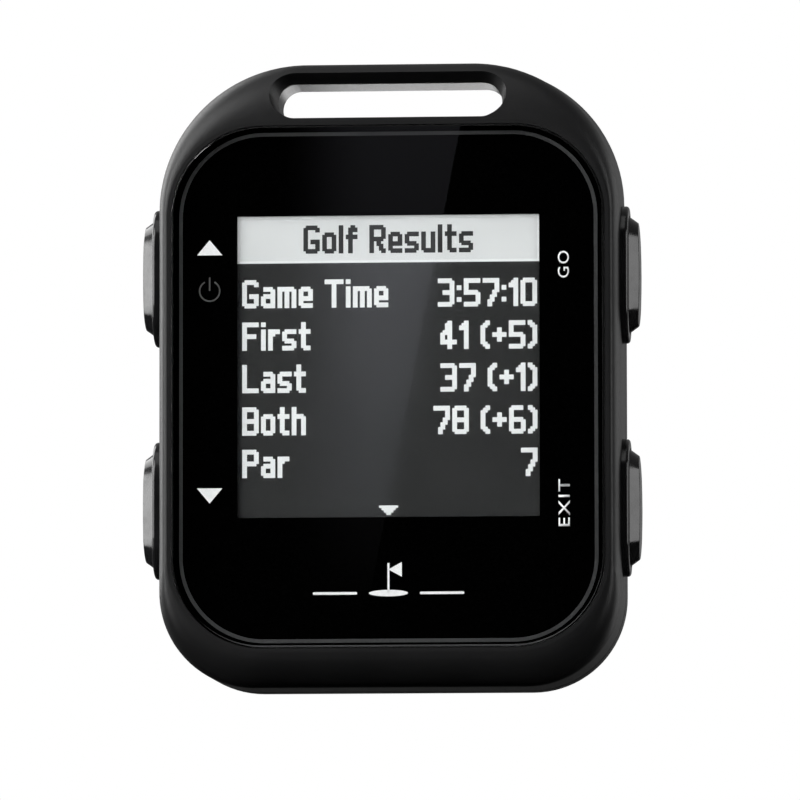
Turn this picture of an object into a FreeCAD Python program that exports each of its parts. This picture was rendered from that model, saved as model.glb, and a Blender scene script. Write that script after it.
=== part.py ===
"""Pocket golf GPS unit with a lanyard loop and four side buttons, as a bench assembly.

Millimetres. x points to the viewer's right, y from the glass to the back, z up.
The origin is the middle of the base, on the surface that the unit stands on.
"""

import FreeCAD
import Part

import math
import os

from FreeCAD import Vector

X, Y, Z = Vector(1, 0, 0), Vector(0, 1, 0), Vector(0, 0, 1)

# ---------------------------------------------------------------- driving sizes
BODY_WIDTH = 35.5
BODY_HEIGHT = 48.35
BODY_DEPTH = 13.3
TOP_CORNER_R = 11.35
BASE_CORNER_R = 7.3

# case shells
WALL = 2.47             # side wall of both shells
COVER_THICKNESS = 1.4   # back wall of the rear cover
SEAT_TO_SPLIT = 0.75    # button surround to the parting plane
COVER_TOP_R = 9.0
BACK_EDGE_R = 1.9
PARTING_R = 0.4         # rounded edge of the front case at the parting line
COVER_EDGE_R = 0.15
SHOULDER_DEPTH = 2.6    # how far back the rounded front shoulder runs
SHOULDER_STEPS = 7
TOP_DRAFT = 0.35        # rise of the top from the shoulder to the parting plane
CORNER_DRAFT = 0.5      # how much tighter the top corners are there
LIP_WIDTH = 0.3         # flat rim round the glass

# glass
SIDE_BORDER = 1.15     # body side to glass
TOP_BORDER = 5.34
BASE_BORDER = 2.97
LENS_CORNER_R = 6.95
LENS_THICKNESS = 1.2
LENS_PROUD = 0.15
LENS_GAP = 0.06
LENS_EDGE = 0.15        # polished chamfer round the glass
MASK_THICKNESS = 0.1
TAPE_THICKNESS = 0.15
TAPE_WIDTH = 1.5

# ledge that carries the glass, and the window in it
LEDGE_THICKNESS = 0.8
WINDOW_SIDE = 2.6       # glass edge to window edge
WINDOW_TOP = 4.28
WINDOW_BASE = 4.87
WINDOW_R = 0.8

# display
FLEX_ROOM = 1.5         # window edge to display tray, where the flex bends
TRAY_GAP = 0.25
TRAY_WALL = 0.4
TRAY_FLOOR = 0.2
PANEL_GAP = 0.05
PANEL_GLASS = 0.5       # each of the panel's two glasses
GUIDE_THICKNESS = 0.5
ACTIVE_SIDE = 1.7       # panel edge to picture edge
ACTIVE_TOP = 1.89
ACTIVE_BASE = 3.16
PANEL_STEP = 2.0        # bare strip of the rear glass that carries the driver
DRIVER_SIZE = (13.0, 0.3, 0.8)
FLEX_WIDTH = 8.0
FLEX_THICKNESS = 0.12

# circuit board
BOARD_GAP = 0.25        # tray to board
BOARD_THICKNESS = 0.8
BOARD_EDGE_GAP = 1.4    # cavity side to board
BOARD_END_GAP = 0.5
BOARD_R = 4.0
NOTCH_GAP = 0.3
BOARD_SCREW_INSET = 3.6  # case boss to board screw, sideways
BOARD_SCREW_RISE = 1.25
POST_R = 1.1
BOARD_SCREW_R = 0.5
BOARD_SCREW_HEAD = (0.9, 0.5)
CONNECTOR_SIZE = (9.0, 0.9, 2.0)
ANTENNA_SIZE = (13.0, 3.2, 4.2)
ANTENNA_PLATE = 0.08
SHIELD_SIZE = (12.0, 1.5, 9.0)
CHIP_HEIGHTS = (0.9, 1.1, 0.7, 0.6)

# case screws
BOSS_R = 1.7
BOSS_BITE = 0.5         # how far a boss sinks into the corner wall
SCREW_R = 0.8
SCREW_HEAD = (1.35, 0.9)
SCREW_HEAD_GAP = 0.12
SCREW_SINK = 0.75       # head top below the back face
SCREW_HOLE_GAP = 0.08
INSERT_R = 1.15
INSERT_LENGTH = 2.6
DRIVE_R = 0.62
DRIVE_DEPTH = 0.5

# seal
GASKET_INSET = 1.25
GASKET_WIDTH = 0.7
GROOVE_GAP = 0.05
GROOVE_DEPTH = 0.5

# battery
BATTERY_FRONT_GAP = 3.35  # board to battery
BATTERY_TAPE = 0.35
BATTERY_SIDE_GAP = 4.4
BATTERY_END_GAP = 1.2
LEAD_R = 0.25
LEAD_BEND_R = 0.9
LEAD_PITCH = 1.0
LEAD_X = -6.0
BATTERY_PLUG_SIZE = (2.4, 1.2, 2.2)

# charging contacts
CONTACT_COUNT = 4
CONTACT_PITCH = 2.5
CONTACT_R = 0.7
CARRIER_LENGTH = 11.0
CARRIER_HEIGHT = 3.0
CARRIER_FLANGE = 0.5
RECESS_MARGIN = 0.45
RECESS_DEPTH = 0.3
CONTACT_PROUD = 0.1
CONTACT_TAIL = 0.75
POGO_BARREL_R = 0.6
POGO_PIN_R = 0.35
POGO_PIN_LENGTH = 1.4

# lanyard slot
SLOT_WIDTH = 17.3
SLOT_HEIGHT = 2.93
LOOP_THICKNESS = 1.8   # bar above the slot
SLOT_TO_COVER = 0.5
SCOOP_DEPTH = 3.0       # flared mouth in front of the slot
SCOOP_SIDE = 0.6
SCOOP_TOP = 1.6
SCOOP_STEPS = 5
SCOOP_TAPER = 0.45      # share of the flare that is straight
SLOT_BACK_DEPTH = 1.0   # bevel round the slot's rear edge
SLOT_BACK_EDGE = 0.35

# side buttons
BUTTON_DROP = 5.22      # top corner's end to the upper button's middle
BUTTON_RISE = 6.52      # base corner's end to the lower button's middle
TRAVEL = 0.5
SURROUND_RIM = 0.7
SURROUND_SEAT = 0.8
SURROUND_PROUD = 0.58
SURROUND_GAP = 0.03
SURROUND_EDGE_R = 0.25
CAP_LENGTH = 8.95
CAP_WIDTH = 4.4
CAP_GAP = 0.12
CAP_PROUD = 1.4
CAP_SUNK = 0.62
CAP_BEVEL = 0.8
CAP_BEVEL_IN = 0.58
CAP_CROWN = 0.15
CAP_EDGE_R = 0.12
WELL_CLEAR = 0.15       # left under the cap when it is fully pressed
STEM_R = 0.8
STEM_GRIP = 0.45
BORE_GAP = 0.03
SPRING_POCKET_R = 1.5
SPRING_POCKET_DEPTH = 0.8
SPRING_R = 1.1
SPRING_WIRE_R = 0.1
SPRING_TURNS = 3.0
SPRING_END_GAP = 0.02
RING_R = 0.16
RING_GROOVE_R = 0.5
RING_GROOVE_WIDTH = 0.4
RING_FROM_WELL = 0.2
CLIP_R = 1.25
CLIP_THICKNESS = 0.25
CLIP_GROOVE_GAP = 0.02
CLIP_WALL_GAP = 0.12
CLIP_MOUTH = 0.7
SWITCH_SIZE = (1.6, 1.8, 3.5)
SWITCH_AXIS = 0.9       # board to button axis
SWITCH_PIN_R = 0.5
SWITCH_PIN_GAP = 0.05
SWITCH_PIN_OUT = 0.7
SWITCH_PIN_IN = 0.75

# ---------------------------------------------------------------- planes and places
HALF = BODY_WIDTH / 2
FRONT = -BODY_DEPTH / 2
BACK = BODY_DEPTH / 2
LIP_Y = FRONT + LENS_PROUD
SHOULDER_Y = LIP_Y + SHOULDER_DEPTH
COVER_IN_Y = BACK - COVER_THICKNESS
MASK_Y = FRONT + LENS_THICKNESS
TAPE_Y = MASK_Y + MASK_THICKNESS
LEDGE_Y = TAPE_Y + TAPE_THICKNESS
CAVITY_Y = LEDGE_Y + LEDGE_THICKNESS
GUIDE_Y = LEDGE_Y + 2 * PANEL_GLASS
TRAY_FLOOR_Y = GUIDE_Y + GUIDE_THICKNESS
TRAY_BACK_Y = TRAY_FLOOR_Y + TRAY_FLOOR
BOARD_Y = TRAY_BACK_Y + BOARD_GAP
BOARD_BACK_Y = BOARD_Y + BOARD_THICKNESS
BUTTON_Y = BOARD_BACK_Y + SWITCH_AXIS
SURROUND_LENGTH = CAP_LENGTH + 2 * (CAP_GAP + SURROUND_RIM)
SURROUND_WIDTH = CAP_WIDTH + 2 * (CAP_GAP + SURROUND_RIM)
SPLIT_Y = BUTTON_Y + SURROUND_WIDTH / 2 + SEAT_TO_SPLIT
UPPER_Z = BODY_HEIGHT - TOP_CORNER_R - BUTTON_DROP
LOWER_Z = BASE_CORNER_R + BUTTON_RISE
BATTERY_Y = BOARD_BACK_Y + BATTERY_FRONT_GAP
BATTERY_BACK_Y = COVER_IN_Y - BATTERY_TAPE
SLOT_TOP = BODY_HEIGHT - LOOP_THICKNESS
SLOT_BASE = SLOT_TOP - SLOT_HEIGHT
BUTTONS = {
    "up": (-1, UPPER_Z),
    "down": (-1, LOWER_Z),
    "enter": (1, UPPER_Z),
    "back": (1, LOWER_Z),
}


# ---------------------------------------------------------------- helpers
class Outline:
    """A rectangle in the xz plane, centred on x = 0, with round corners that may differ top and base."""

    def __init__(self, half, low, high, r_low, r_high):
        self.half, self.low, self.high = half, low, high
        self.r_low, self.r_high = r_low, r_high

    def inset(self, d):
        return Outline(self.half - d, self.low + d, self.high - d, self.r_low - d, self.r_high - d)

    def wire(self, y):
        """Eight edges, always from the same corner, so that lofts line up."""
        corners = (
            (self.half, self.low, self.r_low, -90),
            (self.half, self.high, self.r_high, 0),
            (-self.half, self.high, self.r_high, 90),
            (-self.half, self.low, self.r_low, 180),
        )
        arcs = []
        for cx, cz, r, start in corners:
            mid_x = cx - math.copysign(r, cx)
            mid_z = cz + r if start in (-90, 180) else cz - r
            points = []
            for step in (0, 45, 90):
                a = math.radians(start + step)
                points.append(Vector(mid_x + r * math.cos(a), y, mid_z + r * math.sin(a)))
            arcs.append(points)
        edges = []
        for i, points in enumerate(arcs):
            edges.append(Part.Arc(*points).toShape())
            following = arcs[(i + 1) % len(arcs)]
            edges.append(Part.LineSegment(points[2], following[0]).toShape())
        return Part.Wire(edges)

    def prism(self, y0, y1):
        return Part.Face(self.wire(y0)).extrude(Y * (y1 - y0))

    def corner(self, side, top, beyond):
        """A point on the 45 degree line of a corner, beyond its arc's centre."""
        r = self.r_high if top else self.r_low
        k = beyond / math.sqrt(2)
        z = self.high - r + k if top else self.low + r - k
        return side * (self.half - r + k), z


def blend_outlines(a, b, share):
    """The outline a share of the way from a to b."""
    mix = [p + (q - p) * share for p, q in zip(
        (a.half, a.low, a.high, a.r_low, a.r_high), (b.half, b.low, b.high, b.r_low, b.r_high))]
    return Outline(*mix)


def box(x0, x1, y0, y1, z0, z1):
    return Part.makeBox(x1 - x0, y1 - y0, z1 - z0, Vector(x0, y0, z0))


def rod_y(x, z, r, y0, y1):
    return Part.makeCylinder(r, y1 - y0, Vector(x, y0, z), Y)


def rod_x(y, z, r, x0, x1):
    return Part.makeCylinder(r, x1 - x0, Vector(x0, y, z), X)


def stadium_x(length, width, z, x0, x1):
    """A bar with round ends, long in z and wide in y, about the button axis."""
    wire = stadium_wire(length, width, z, x0)
    return Part.Face(wire).extrude(X * (x1 - x0))


def stadium_wire(length, width, z, x):
    r = width / 2
    top, base = z + length / 2 - r, z - length / 2 + r
    front, back = BUTTON_Y - r, BUTTON_Y + r
    edges = [
        Part.LineSegment(Vector(x, back, base), Vector(x, back, top)).toShape(),
        Part.Arc(Vector(x, back, top), Vector(x, BUTTON_Y, top + r), Vector(x, front, top)).toShape(),
        Part.LineSegment(Vector(x, front, top), Vector(x, front, base)).toShape(),
        Part.Arc(Vector(x, front, base), Vector(x, BUTTON_Y, base - r), Vector(x, back, base)).toShape(),
    ]
    return Part.Wire(edges)


def crown_x(shape, length, z, x_top, fall):
    """The shape trimmed to a face that is highest at z and falls towards its ends."""
    radius = ((length / 2) ** 2 + fall ** 2) / (2 * fall)
    return shape.common(rod_across(x_top - radius, z, radius))


def rod_across(x, z, r):
    return Part.makeCylinder(r, 4 * SURROUND_WIDTH, Vector(x, BUTTON_Y - 2 * SURROUND_WIDTH, z), Y)


def edges_at_y(shape, y):
    return [e for e in shape.Edges if all(abs(v.Y - y) < 1e-4 for v in e.Vertexes)
            and abs(e.BoundBox.YMax - y) < 1e-3 and abs(e.BoundBox.YMin - y) < 1e-3]


def ribbon(points, thickness, width):
    """A flat strip that follows (y, z) points, as wide in x as width."""
    left, right = [], []
    for i, (y, z) in enumerate(points):
        before = points[max(i - 1, 0)]
        after = points[min(i + 1, len(points) - 1)]
        run = Vector(0, after[0] - before[0], after[1] - before[1]).normalize()
        side = Vector(0, -run.z, run.y) * (thickness / 2)
        left.append(Vector(-width / 2, y, z) + side)
        right.append(Vector(-width / 2, y, z) - side)
    ring = left + right[::-1]
    return Part.Face(Part.makePolygon(ring + ring[:1])).extrude(X * width)


def save(name, *solids):
    shape = solids[0] if len(solids) == 1 else Part.makeCompound(list(solids))
    assert shape.isValid(), name
    shape.exportStep("parts/" + name + ".step")
    print(name, "solids", len(shape.Solids), "volume", round(shape.Volume, 3))


# ---------------------------------------------------------------- outlines
body = Outline(HALF, 0, BODY_HEIGHT - TOP_DRAFT, BASE_CORNER_R, TOP_CORNER_R)
body_rear = Outline(HALF, 0, BODY_HEIGHT, BASE_CORNER_R, TOP_CORNER_R - CORNER_DRAFT)
lens_edge = Outline(HALF - SIDE_BORDER, BASE_BORDER, BODY_HEIGHT - TOP_BORDER, LENS_CORNER_R, LENS_CORNER_R)
lens_pocket = lens_edge.inset(-LENS_GAP)
lip = lens_pocket.inset(-LIP_WIDTH)
window = Outline(lens_edge.half - WINDOW_SIDE, lens_edge.low + WINDOW_BASE,
                 lens_edge.high - WINDOW_TOP, WINDOW_R, WINDOW_R)
cover = Outline(HALF, 0, SLOT_BASE - SLOT_TO_COVER, BASE_CORNER_R, COVER_TOP_R)
cavity = cover.inset(WALL)
tray_outer = Outline(window.half - TRAY_GAP, window.low + FLEX_ROOM, window.high - TRAY_GAP, WINDOW_R, WINDOW_R)
tray_inner = tray_outer.inset(TRAY_WALL)
panel = tray_inner.inset(PANEL_GAP)
picture = Outline(panel.half - ACTIVE_SIDE, panel.low + ACTIVE_BASE, panel.high - ACTIVE_TOP, 0.1, 0.1)
board = Outline(cavity.half - BOARD_EDGE_GAP, cavity.low + BOARD_END_GAP, cavity.high - BOARD_END_GAP,
                BOARD_R, BOARD_R)
gasket_line = cover.inset(GASKET_INSET)
BOSSES = []
for side in (-1, 1):
    for top in (False, True):
        r = cavity.r_high if top else cavity.r_low
        BOSSES.append(cavity.corner(side, top, r - BOSS_R + BOSS_BITE))
BOSS_BASE_X, BOSS_BASE_Z = abs(BOSSES[0][0]), BOSSES[0][1]
BOSS_TOP_Z = BOSSES[1][1]
BOARD_SCREWS = [(side * (BOSS_BASE_X - BOARD_SCREW_INSET), BOSS_BASE_Z + BOARD_SCREW_RISE) for side in (-1, 1)]
CONTACT_Z = BOSS_BASE_Z
CONTACTS = [(i - (CONTACT_COUNT - 1) / 2) * CONTACT_PITCH for i in range(CONTACT_COUNT)]
SCREW_SEAT_Y = BACK - SCREW_SINK - SCREW_HEAD[1]

# along a button's axis, measured from the middle of the unit
SEAT_X = HALF - SURROUND_SEAT
CAP_IN_X = HALF - CAP_SUNK
CAP_OUT_X = HALF + CAP_PROUD
WELL_X = CAP_IN_X - TRAVEL - WELL_CLEAR
CAVITY_X = cavity.half
POCKET_X = CAP_IN_X + SPRING_POCKET_DEPTH
STEM_OUT_X = POCKET_X + STEM_GRIP
CLIP_X = CAVITY_X - CLIP_WALL_GAP - CLIP_THICKNESS
SWITCH_X = board.half - CLIP_THICKNESS - CLIP_WALL_GAP
STEM_IN_X = SWITCH_X + SWITCH_PIN_OUT


# ---------------------------------------------------------------- housing
def slot_outline(grow_side, grow_top):
    r = (SLOT_HEIGHT + grow_top) / 2 - 0.001
    return Outline(SLOT_WIDTH / 2 + grow_side, SLOT_BASE, SLOT_TOP + grow_top, r, r)


def lanyard_slot():
    """A stadium hole whose front mouth flares to the sides and the top, where the cord lies."""
    through = slot_outline(0, 0).prism(FRONT - 1, SPLIT_Y + 1)
    mouths = []
    for i in range(SCOOP_STEPS):
        share = i / (SCOOP_STEPS - 1)
        flare = 1 - math.sqrt(1 - (0.92 * share) ** 2)
        flare /= 1 - math.sqrt(1 - 0.92 ** 2)
        flare += SCOOP_TAPER * (share - flare)
        y = LIP_Y + SCOOP_DEPTH * (1 - share)
        mouths.append(slot_outline(SCOOP_SIDE * flare + 0.01, SCOOP_TOP * flare + 0.01).wire(y))
    scoop = Part.makeLoft(mouths, True, False)
    rear = [slot_outline(0, 0).wire(SPLIT_Y - SLOT_BACK_DEPTH),
            slot_outline(SLOT_BACK_EDGE, SLOT_BACK_EDGE).wire(SPLIT_Y)]
    return through.fuse([scoop, Part.makeLoft(rear, True, True)])


def button_cuts(side, z):
    """The seat of a surround, the well under its cap and the bore for its stem."""
    gap = 2 * SURROUND_GAP
    seat = stadium_x(SURROUND_LENGTH + gap, SURROUND_WIDTH + gap, z, SEAT_X, HALF + SURROUND_PROUD)
    well = stadium_x(CAP_LENGTH + 2 * CAP_GAP, CAP_WIDTH + 2 * CAP_GAP, z, WELL_X, SEAT_X)
    bore = rod_x(BUTTON_Y, z, STEM_R + BORE_GAP, CAVITY_X - 1, WELL_X)
    cut = seat.fuse([well, bore])
    return cut if side > 0 else cut.mirror(Vector(), X)


def front_case():
    """Front shell: rounded shoulder, glass seat, lanyard loop, bosses and the four button seats."""
    rings = []
    for i in range(SHOULDER_STEPS):
        angle = math.pi / 2 * i / (SHOULDER_STEPS - 1)
        ring = blend_outlines(lip, body, math.sin(angle))
        rings.append(ring.wire(LIP_Y + SHOULDER_DEPTH * (1 - math.cos(angle))))
    shoulder = Part.makeLoft(rings, True, False)
    sides = Part.makeLoft([body.wire(SHOULDER_Y), body_rear.wire(SPLIT_Y)], True, True)
    sides = sides.makeFillet(PARTING_R, edges_at_y(sides, SPLIT_Y))
    shell = shoulder.fuse(sides)
    cuts = [
        lens_pocket.prism(FRONT - 1, LEDGE_Y),
        window.prism(LEDGE_Y - 1, CAVITY_Y + 1),
        cavity.prism(CAVITY_Y, SPLIT_Y + 1),
        gasket_ring(GROOVE_GAP, SPLIT_Y + 1),
        lanyard_slot(),
    ]
    cuts += [button_cuts(side, z) for side, z in BUTTONS.values()]
    shell = shell.cut(cuts)
    bosses = [rod_y(x, z, BOSS_R, BOARD_Y, SPLIT_Y) for x, z in BOSSES]
    posts = [rod_y(x, z, POST_R, CAVITY_Y, BOARD_Y) for x, z in BOARD_SCREWS]
    shell = shell.fuse([b.common(cover.inset(GASKET_INSET + GASKET_WIDTH).prism(FRONT, BACK)) for b in bosses])
    shell = shell.fuse(posts)
    holes = [rod_y(x, z, INSERT_R, SPLIT_Y - INSERT_LENGTH, SPLIT_Y + 1) for x, z in BOSSES]
    holes += [rod_y(x, z, BOARD_SCREW_R, CAVITY_Y, BOARD_Y) for x, z in BOARD_SCREWS]
    return shell.cut(holes).removeSplitter()


def gasket_ring(gap, y_back):
    """The seal's run between the shells, or its groove where a gap is given."""
    outer = gasket_line.inset(-GASKET_WIDTH / 2 - gap)
    inner = gasket_line.inset(GASKET_WIDTH / 2 + gap)
    start = SPLIT_Y - GROOVE_DEPTH
    return outer.prism(start, y_back).cut(inner.prism(start, y_back))


def carrier_plate(grow, y0, y1):
    r = CARRIER_HEIGHT / 2 + grow - 0.001
    half = CARRIER_LENGTH / 2 + grow
    return Outline(half, CONTACT_Z - r - 0.001, CONTACT_Z + r + 0.001, r, r).prism(y0, y1)


def rear_cover():
    """Back shell with four screw columns and the sunk window for the charging contacts."""
    shell = cover.prism(SPLIT_Y, BACK)
    shell = shell.makeFillet(min(BACK_EDGE_R, 0.9 * (BACK - SPLIT_Y)), edges_at_y(shell, BACK))
    shell = shell.makeFillet(COVER_EDGE_R, edges_at_y(shell, SPLIT_Y))
    shell = shell.cut(cavity.prism(SPLIT_Y - 1, COVER_IN_Y))
    columns = [rod_y(x, z, BOSS_R, SPLIT_Y, COVER_IN_Y) for x, z in BOSSES]
    shell = shell.fuse(columns)
    cuts = [rod_y(x, z, SCREW_R + SCREW_HOLE_GAP, SPLIT_Y - 1, BACK) for x, z in BOSSES]
    cuts += [rod_y(x, z, SCREW_HEAD[0] + SCREW_HEAD_GAP, SCREW_SEAT_Y, BACK + 1) for x, z in BOSSES]
    cuts.append(carrier_plate(0, SPLIT_Y, BACK + 1))
    cuts.append(carrier_plate(RECESS_MARGIN, BACK - RECESS_DEPTH, BACK + 1))
    return shell.cut(cuts).removeSplitter()


def case_screw(x, z):
    """Machine screw with a hexagon socket, driven from the back."""
    head_r, head_h = SCREW_HEAD
    tip = SPLIT_Y - INSERT_LENGTH + SCREW_R / 2
    head = rod_y(x, z, head_r, SCREW_SEAT_Y, SCREW_SEAT_Y + head_h)
    head = head.makeChamfer(0.15, edges_at_y(head, SCREW_SEAT_Y + head_h))
    shank = rod_y(x, z, SCREW_R, tip, SCREW_SEAT_Y)
    corners = []
    for i in range(7):
        a = math.radians(60 * i)
        corners.append(Vector(x + DRIVE_R * math.cos(a), SCREW_SEAT_Y + head_h, z + DRIVE_R * math.sin(a)))
    socket = Part.Face(Part.makePolygon(corners)).extrude(Y * -DRIVE_DEPTH)
    return head.fuse(shank).cut(socket).removeSplitter()


def insert(x, z):
    sleeve = rod_y(x, z, INSERT_R, SPLIT_Y - INSERT_LENGTH, SPLIT_Y)
    return sleeve.cut(rod_y(x, z, SCREW_R, SPLIT_Y - INSERT_LENGTH, SPLIT_Y))


def housing():
    save("front_case", front_case())
    save("rear_cover", rear_cover())
    save("case_gasket", gasket_ring(0, SPLIT_Y))
    save("cover_screws", *[case_screw(x, z) for x, z in BOSSES])
    save("screw_inserts", *[insert(x, z) for x, z in BOSSES])


# ---------------------------------------------------------------- glass and display
def display():
    lens = lens_edge.prism(FRONT, MASK_Y)
    save("lens", lens.makeChamfer(LENS_EDGE, edges_at_y(lens, FRONT)))
    mask = lens_edge.prism(MASK_Y, TAPE_Y).cut(picture.prism(MASK_Y, TAPE_Y))
    save("lens_mask", mask)
    tape = lens_edge.prism(TAPE_Y, LEDGE_Y).cut(lens_edge.inset(TAPE_WIDTH).prism(TAPE_Y, LEDGE_Y))
    save("lens_adhesive", tape)
    middle = LEDGE_Y + PANEL_GLASS
    front_glass = Outline(panel.half, panel.low + PANEL_STEP, panel.high, panel.r_low, panel.r_high)
    cell = front_glass.prism(LEDGE_Y, middle).fuse(panel.prism(middle, GUIDE_Y))
    save("lcd_panel", cell.removeSplitter())
    dx, dy, dz = DRIVER_SIZE
    step_z = panel.low + PANEL_STEP - dz - 0.15
    save("display_driver", box(-dx / 2, dx / 2, middle - dy, middle, step_z, step_z + dz))
    save("backlight_guide", panel.prism(GUIDE_Y, TRAY_FLOOR_Y))
    tray = tray_outer.prism(middle + PANEL_GAP, TRAY_BACK_Y)
    save("display_tray", tray.cut(tray_inner.prism(middle - 1, TRAY_FLOOR_Y)))
    save("display_connector", connector())
    save("display_flex", flex(middle, step_z))


def connector():
    cx, cy, cz = CONNECTOR_SIZE
    return box(-cx / 2, cx / 2, BOARD_Y - cy, BOARD_Y, window.low - FLEX_ROOM - cz, window.low - FLEX_ROOM)


def flex(glass_y, top):
    """Ribbon from the panel's bare strip, round the tray and down into the board connector."""
    front = glass_y - FLEX_THICKNESS / 2
    rear = BOARD_Y - CONNECTOR_SIZE[1] * 0.75
    bend = window.low + FLEX_ROOM / 3
    points = [
        (front, top - 0.15),
        (front, bend + 0.4),
        (front + 0.12, bend + 0.15),
        (rear - 0.12, window.low - 0.25),
        (rear, window.low - 0.5),
        (rear, window.low - FLEX_ROOM),
    ]
    return ribbon(points, FLEX_THICKNESS, FLEX_WIDTH)


# ---------------------------------------------------------------- electronics
def main_board():
    plate = board.prism(BOARD_Y, BOARD_BACK_Y)
    cuts = [rod_y(x, z, BOSS_R + NOTCH_GAP, BOARD_Y - 1, BOARD_BACK_Y + 1) for x, z in BOSSES]
    cuts += [rod_y(x, z, BOARD_SCREW_R + 0.05, BOARD_Y - 1, BOARD_BACK_Y + 1) for x, z in BOARD_SCREWS]
    return plate.cut(cuts)


def board_screw(x, z):
    r, h = BOARD_SCREW_HEAD
    head = rod_y(x, z, r, BOARD_BACK_Y, BOARD_BACK_Y + h)
    return head.fuse(rod_y(x, z, BOARD_SCREW_R, CAVITY_Y + 0.1, BOARD_BACK_Y)).removeSplitter()


def on_board(x, z, size):
    """A block standing on the back of the board, centred on x, z."""
    dx, dy, dz = size
    return box(x - dx / 2, x + dx / 2, BOARD_BACK_Y, BOARD_BACK_Y + dy, z - dz / 2, z + dz / 2)


def lead(x):
    """One battery wire: down from the battery, round a bend and into the plug."""
    wire_y = BATTERY_Y + LEAD_PITCH
    top = battery_outline().low
    base = CONTACT_Z
    plug_y = BOARD_BACK_Y + BATTERY_PLUG_SIZE[1]
    k = LEAD_BEND_R * (1 - math.sqrt(0.5))
    start = Vector(x, wire_y, top)
    turn_in = Vector(x, wire_y, base + LEAD_BEND_R)
    turn_mid = Vector(x, wire_y - k, base + k)
    turn_out = Vector(x, wire_y - LEAD_BEND_R, base)
    path = Part.Wire([
        Part.LineSegment(start, turn_in).toShape(),
        Part.Arc(turn_in, turn_mid, turn_out).toShape(),
        Part.LineSegment(turn_out, Vector(x, plug_y, base)).toShape(),
    ])
    section = Part.Wire([Part.makeCircle(LEAD_R, start, Z * -1)])
    return path.makePipeShell([section], True, True)


def battery_outline():
    return Outline(cavity.half - BATTERY_SIDE_GAP, BOSS_BASE_Z + BOSS_R + BATTERY_END_GAP,
                   BOSS_TOP_Z - BOSS_R - BATTERY_END_GAP / 2, 0.8, 0.8)


def battery_cell():
    cell = battery_outline().prism(BATTERY_Y, BATTERY_BACK_Y)
    r = min(0.6, 0.3 * (BATTERY_BACK_Y - BATTERY_Y))
    return cell.makeFillet(r, edges_at_y(cell, BATTERY_Y) + edges_at_y(cell, BATTERY_BACK_Y))


def antenna():
    z = board.high - ANTENNA_SIZE[2] / 2
    block = on_board(0, z, ANTENNA_SIZE)
    plate = box(-ANTENNA_SIZE[0] / 2 + 0.5, ANTENNA_SIZE[0] / 2 - 0.5,
                BOARD_BACK_Y + ANTENNA_SIZE[1], BOARD_BACK_Y + ANTENNA_SIZE[1] + ANTENNA_PLATE,
                z - ANTENNA_SIZE[2] / 2 + 0.5, z + ANTENNA_SIZE[2] / 2 - 0.5)
    return block, plate


def shield_can():
    z = (BOSS_BASE_Z + BOSS_TOP_Z) / 2 + 3
    outer = on_board(0, z, SHIELD_SIZE)
    outer = outer.makeFillet(0.3, [e for e in outer.Edges if e.BoundBox.YMin > BOARD_BACK_Y + 0.1])
    sx, sy, sz = SHIELD_SIZE
    return outer.cut(on_board(0, z, (sx - 0.4, sy - 0.2, sz - 0.4)))


def electronics():
    save("main_board", main_board())
    save("board_screws", *[board_screw(x, z) for x, z in BOARD_SCREWS])
    block, plate = antenna()
    save("gps_antenna", block)
    save("antenna_electrode", plate)
    save("shield_can", shield_can())
    middle = (BOSS_BASE_Z + BOSS_TOP_Z) / 2
    places = ((-4.0, -7.0), (4.0, -7.0), (0.5, -10.5), (6.0, -11.0))
    chips = []
    for (x, dz), height in zip(places, CHIP_HEIGHTS):
        chips.append(on_board(x, middle + dz, (3.0 + height, height, 3.4 - height)))
    save("board_chips", *chips)
    save("battery_plug", on_board(LEAD_X, CONTACT_Z, BATTERY_PLUG_SIZE))
    save("battery_leads", lead(LEAD_X - LEAD_PITCH / 2), lead(LEAD_X + LEAD_PITCH / 2))
    save("battery", battery_cell())
    save("battery_tape", battery_outline().inset(0.7).prism(BATTERY_BACK_Y, COVER_IN_Y))


# ---------------------------------------------------------------- charging contacts
def contact(x):
    r = CONTACT_R
    y0, y1 = COVER_IN_Y - CONTACT_TAIL, BACK - RECESS_DEPTH + CONTACT_PROUD
    pin = rod_y(x, CONTACT_Z, r, y0, y1)
    return pin.makeFillet(0.08, edges_at_y(pin, y1))


def pogo(x):
    end = COVER_IN_Y - CONTACT_TAIL
    barrel = rod_y(x, CONTACT_Z, POGO_BARREL_R, BOARD_BACK_Y, end - POGO_PIN_LENGTH)
    return barrel.fuse(rod_y(x, CONTACT_Z, POGO_PIN_R, end - POGO_PIN_LENGTH, end)).removeSplitter()


def charging():
    body_block = carrier_plate(0, COVER_IN_Y, BACK - RECESS_DEPTH)
    flange = carrier_plate(CARRIER_FLANGE, COVER_IN_Y - CARRIER_FLANGE, COVER_IN_Y)
    bores = [rod_y(x, CONTACT_Z, CONTACT_R, SPLIT_Y, BACK) for x in CONTACTS]
    save("contact_carrier", body_block.fuse(flange).cut(bores).removeSplitter())
    save("charging_contacts", *[contact(x) for x in CONTACTS])
    save("contact_pogo_pins", *[pogo(x) for x in CONTACTS])


# ---------------------------------------------------------------- side buttons
def surround(z):
    """Fixed glossy ring round a button, with a rounded outer edge."""
    ring = stadium_x(SURROUND_LENGTH, SURROUND_WIDTH, z, SEAT_X, HALF + SURROUND_PROUD)
    rim = [e for e in ring.Edges if e.BoundBox.XMin > HALF - SURROUND_SEAT / 2]
    ring = ring.makeFillet(SURROUND_EDGE_R, rim)
    return ring.cut(stadium_x(CAP_LENGTH + 2 * CAP_GAP, CAP_WIDTH + 2 * CAP_GAP, z, SEAT_X - 1, HALF + 2))


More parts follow.
